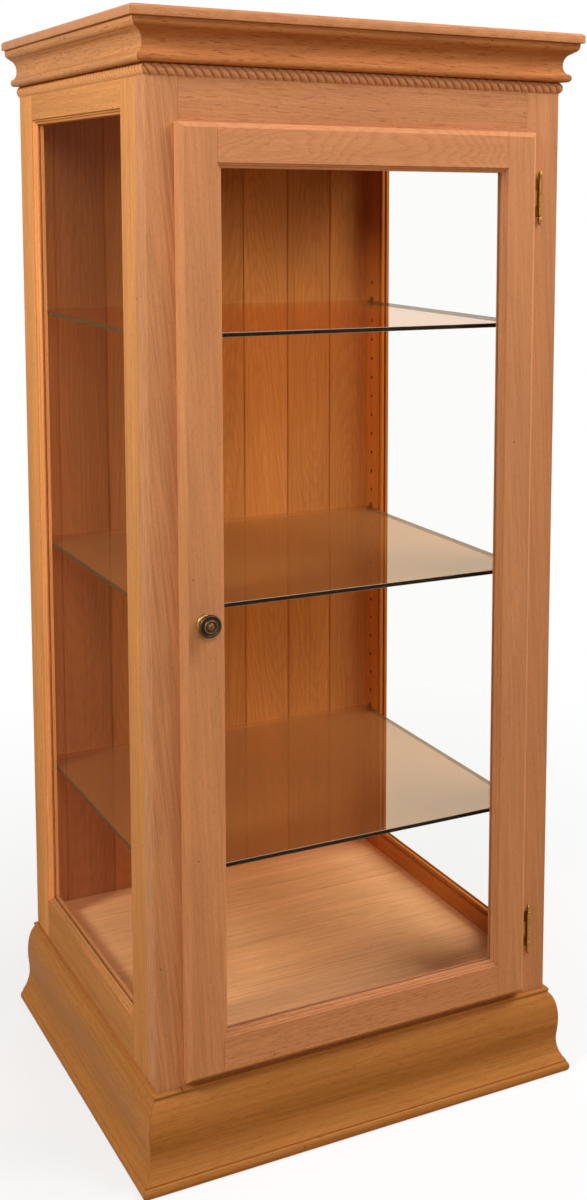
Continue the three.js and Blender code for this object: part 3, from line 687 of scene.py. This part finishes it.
def lathe(shape, profile, centre, axis, segments):
    """Turn (radius, height) points about an axis through centre."""
    turn = Vector((0, 0, 1)).rotation_difference(Vector(axis)).to_matrix()
    rings = []
    for radius, height in profile:
        if radius <= 0:
            rings.append([shape.verts.new(turn @ Vector((0, 0, height)) + centre)])
            continue
        ring = []
        for k in range(segments):
            angle = 2 * math.pi * k / segments
            local = Vector((radius * math.cos(angle), radius * math.sin(angle), height))
            ring.append(shape.verts.new(turn @ local + centre))
        rings.append(ring)
    for one, two in zip(rings, rings[1:]):
        for k in range(segments):
            after = (k + 1) % segments
            corners = (one[k % len(one)], one[after % len(one)], two[after % len(two)], two[k % len(two)])
            unique = list(dict.fromkeys(corners))
            if len(unique) > 2:
                shape.faces.new(unique)


def on_curve(p, q, r, s, t):
    """One coordinate of a Catmull-Rom curve, t of the way from q to r."""
    square, cube = (2 * p - 5 * q + 4 * r - s) * t * t, (3 * q - p - 3 * r + s) * t ** 3
    return 0.5 * (2 * q + (r - p) * t + square + cube)


def smooth_profile(points, steps=5):
    """A Catmull-Rom curve through (radius, height) points."""
    padded = [points[0], *points, points[-1]]
    curve = []
    for four in zip(padded, padded[1:], padded[2:], padded[3:]):
        for k in range(steps):
            curve.append(tuple(on_curve(*values, k / steps) for values in zip(*four)))
    curve.append(points[-1])
    return [(max(0.0, radius), height) for radius, height in curve]


# (radius, height above the door), mm
KNOB_FOOT_PROFILE = (
    (12.0, 0), (12.5, 2.4), (11.4, 4.8), (8.2, 6.2), (6.9, 9.2), (8.4, 12), (13.2, 14.2), (15.0, 17))
KNOB_FACE_PROFILE = (
    (14.9, 18.6), (14.0, 20.3), (12.6, 20.7), (11.4, 20.0), (10.6, 19.5), (9.8, 19.6), (9.2, 20.9),
    (8.4, 22.0), (7.4, 22.1), (6.6, 21.1), (5.8, 20.8), (4.2, 22.2), (1.6, 23.4), (0.9, 22.9), (0, 22.7))


def dress_knob():
    """The turned knob: a flanged foot, a neck and a face with two raised rings."""
    low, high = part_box("door_knob")
    centre = Vector(((low[0] + high[0]) / 2, high[1], (low[2] + high[2]) / 2))
    curve = smooth_profile(KNOB_FOOT_PROFILE + KNOB_FACE_PROFILE)
    profile = [(0, 0), *((radius * MM, height * MM) for radius, height in curve)]

    material = knob_bronze("knob_bronze", centre)
    piece = new_piece("turned_knob", DOOR, material, lambda s: lathe(s, profile, centre, (0, -1, 0), 64))
    shade_by_angle(piece.data, math.radians(50))
    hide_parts("door_knob")


SCREW_RADIUS = 3.0 * MM
# (share of the radius, height in mm) over the leaf's face
SCREW_PROFILE = (
    (0, -0.3), (0.96, -0.3), (1.0, 0.0), (0.9, 0.12), (0.5, 0.16), (0.42, 0.02), (0.2, -0.2), (0, -0.22))
FRAME_SCREWS = (-0.36, 0.0, 0.36)  # shares of the leaf's height, from its middle
FRAME_SCREW_INSET = 7 * MM
DOOR_SCREWS = (-0.33, 0.0, 0.33)
DOOR_SCREW_INSET = 9 * MM


def screw(name, body, material, place, axis):
    """A round screw head with a dished middle, flush with the leaf that it holds."""
    profile = [(share * SCREW_RADIUS, height * MM) for share, height in SCREW_PROFILE]
    piece = new_piece(name, body, material, lambda s: lathe(s, profile, Vector(place), axis, 20))
    shade_by_angle(piece.data, math.radians(40))


def dress_hinges(material):
    post_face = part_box("front_right_post")[0][1]
    door_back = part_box("door_hinge_stile")[1][1]
    for level in ("upper", "lower"):
        for part in ("frame_leaf", "door_leaf", "pin"):
            piece = finished_copy(f"{level}_hinge_{part}", material, smooth=math.radians(40))
        low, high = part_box(f"{level}_hinge_frame_leaf")
        height = (low[2] + high[2]) / 2
        for k, step in enumerate(FRAME_SCREWS, start=1):
            place = (low[0] + FRAME_SCREW_INSET, post_face, height + step * (high[2] - low[2]))
            screw(f"{level}_hinge_frame_screw_{k}", CASE, material, place, (0, -1, 0))
        low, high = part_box(f"{level}_hinge_door_leaf")
        for k, step in enumerate(DOOR_SCREWS, start=1):
            place = (low[0] + DOOR_SCREW_INSET, door_back, height + step * (high[2] - low[2]))
            screw(f"{level}_hinge_door_screw_{k}", DOOR, material, place, (0, 1, 0))


def dress_pins(material):
    for level in LEVELS:
        for row in ("front", "rear"):
            for side in ("left", "right"):
                piece = finished_copy(f"{level}_shelf_pin_{row}_{side}", material)


# ---- glass ----

SHELF_LOOKS = {  # tint, share of haze
    "upper": (SHELF_TINT_UPPER, 0.05),
    "middle": (SHELF_TINT, 0.20),
    "lower": (SHELF_TINT, 0.20),
}
SHELF_EASE = 0.5 * MM


def dress_glass():
    pane = pane_glass("pane_glass")
    for node in ("door_glass", "left_side_glass", "right_side_glass"):
        finished_copy(node, pane)
    for level in LEVELS:
        low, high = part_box(f"{level}_shelf")
        shelf = shelf_glass(f"{level}_shelf_glass", *SHELF_LOOKS[level], low[Y], high[Y])
        finished_copy(f"{level}_shelf", shelf, SHELF_EASE, math.radians(20))


# ---- the studio ----


def camera_turn():
    turn = Matrix.Rotation(-CAMERA_YAW, 4, "Z") @ Matrix.Rotation(math.pi / 2 + CAMERA_PITCH, 4, "X")
    return turn @ Matrix.Rotation(CAMERA_ROLL, 4, "Z")


def add_camera():
    """The photograph's view. The frame is a crop, so the lens is shifted to match it."""
    data = bpy.data.cameras.new("photo_camera")
    longest = max(FRAME_WIDTH_PX, FRAME_HEIGHT_PX)
    data.sensor_width = SENSOR_WIDTH_MM
    data.lens = FOCAL_PX * SENSOR_WIDTH_MM / longest
    data.shift_x = (FRAME_WIDTH_PX / 2 - PRINCIPAL_X_PX) / longest
    data.shift_y = (PRINCIPAL_Y_PX - FRAME_HEIGHT_PX / 2) / longest
    camera = bpy.data.objects.new("photo_camera", data)
    camera.matrix_world = Matrix.Translation(CAMERA_PLACE) @ camera_turn()
    bpy.context.scene.collection.objects.link(camera)
    bpy.context.scene.camera = camera


def softbox(name, place, aim_height, size, power, colour=(1.0, 1.0, 1.0)):
    """A square lamp that faces the cabinet's axis at aim_height."""
    data = bpy.data.lights.new(name, "AREA")
    data.shape = "RECTANGLE"
    data.size = data.size_y = size
    data.energy = power
    data.color = colour
    lamp = bpy.data.objects.new(name, data)
    look = (Vector((0, 0, aim_height)) - Vector(place)).to_track_quat("-Z", "Y").to_matrix().to_4x4()
    lamp.matrix_world = Matrix.Translation(place) @ look
    bpy.context.scene.collection.objects.link(lamp)


def seen_ray(tree):
    """1 for camera, glossy and transmission rays, else 0."""
    path = tree.nodes.new("ShaderNodeLightPath")
    total = path.outputs["Is Camera Ray"]
    for kind in ("Is Glossy Ray", "Is Transmission Ray"):
        either = tree.nodes.new("ShaderNodeMath")
        either.operation = "MAXIMUM"
        tree.links.new(total, either.inputs[0])
        tree.links.new(path.outputs[kind], either.inputs[1])
        total = either.outputs[0]
    return total


def add_world(soft_colour, soft_strength):
    """A backdrop that looks white, and lights the object more softly than that."""
    world = bpy.data.worlds.new("studio")
    world.use_nodes = True
    bpy.context.scene.world = world
    tree = world.node_tree
    tree.nodes.clear()
    white = tree.nodes.new("ShaderNodeBackground")
    white.inputs["Color"].default_value = (1, 1, 1, 1)
    soft = tree.nodes.new("ShaderNodeBackground")
    soft.inputs["Color"].default_value = (*soft_colour, 1)
    soft.inputs["Strength"].default_value = soft_strength
    mix = tree.nodes.new("ShaderNodeMixShader")
    tree.links.new(seen_ray(tree), mix.inputs[0])
    tree.links.new(soft.outputs[0], mix.inputs[1])
    tree.links.new(white.outputs[0], mix.inputs[2])
    out = tree.nodes.new("ShaderNodeOutputWorld")
    tree.links.new(mix.outputs[0], out.inputs["Surface"])


FLOOR_REACH = 6.0
FLOOR_PALE = ((0.90, 0.90, 0.90), (0.94, 0.94, 0.94))  # as it is seen
FLOOR_WARM = ((0.48, 0.36, 0.15), (0.50, 0.38, 0.16))  # as it lights the cabinet
WHITE_FROM, WHITE_TO = 0.5, 1.8  # distances over which the pale floor turns to plain white
WHITE_SHARE = 0.72  # how white it is at the cabinet's foot


def floor_material():
    """A pale sweep: white from afar, with the object's shadow kept around its foot."""
    finish = Finish("studio_floor")
    place = finish.place()
    mottle = finish.noise(place, scale=2.0, detail=2.0)
    pale, warm = (finish.diffuse(finish.mix(mottle, *shades)) for shades in (FLOOR_PALE, FLOOR_WARM))
    white = finish.node("ShaderNodeEmission", {"Color": (1, 1, 1), "Strength": 1.0}).outputs[0]
    share = finish.spread(finish.length(place), WHITE_FROM, WHITE_TO, WHITE_SHARE, 1.0)
    sweep = finish.blend(share, pale, white)
    return finish.done(finish.blend(seen_ray(finish.tree), warm, sweep))


def add_floor():
    mesh = bpy.data.meshes.new("studio_floor")
    corners = [(x * FLOOR_REACH, y * FLOOR_REACH, 0) for x, y in ((-1, -1), (1, -1), (1, 1), (-1, 1))]
    mesh.from_pydata(corners, [], [(0, 1, 2, 3)])
    mesh.materials.append(floor_material())
    floor = bpy.data.objects.new("studio_floor", mesh)
    bpy.context.scene.collection.objects.link(floor)


def add_studio():
    add_camera()
    add_floor()
    add_world((1, 0.95, 0.82), 0.09)
    softbox("left", (-2.2, -0.5, 2.15), 0.9, 0.6, 38, (1.0, 0.99, 0.92))
    softbox("front", (-0.9, -2.5, 1.95), 0.7, 0.6, 19, (1.0, 0.96, 0.98))
    softbox("ceiling_right", (1.3, -1.5, 3.0), 0.7, 1.2, 46, (1.0, 0.97, 1.0))
    softbox("right", (2.3, -0.5, 2.3), 0.7, 1.3, 34)
    softbox("rear", (0.7, 2.8, 1.9), 0.8, 0.9, 16)
    scene = bpy.context.scene
    scene.view_settings.view_transform = "Standard"
    # a ray from the floor panel to a lamp crosses three shelves and a pane
    scene.cycles.transparent_max_bounces = 32


# ---- everything ----

add_studio()
dress_wood()
dress_back()
dress_ropes()
dress_hinges(aged_metal("hinge_brass", HINGE_BRASS, roughness=0.36, contrast=0.35))
dress_pins(aged_metal("pin_brass", PIN_BRASS, roughness=0.34, contrast=0.2))
dress_knob()
dress_glass()
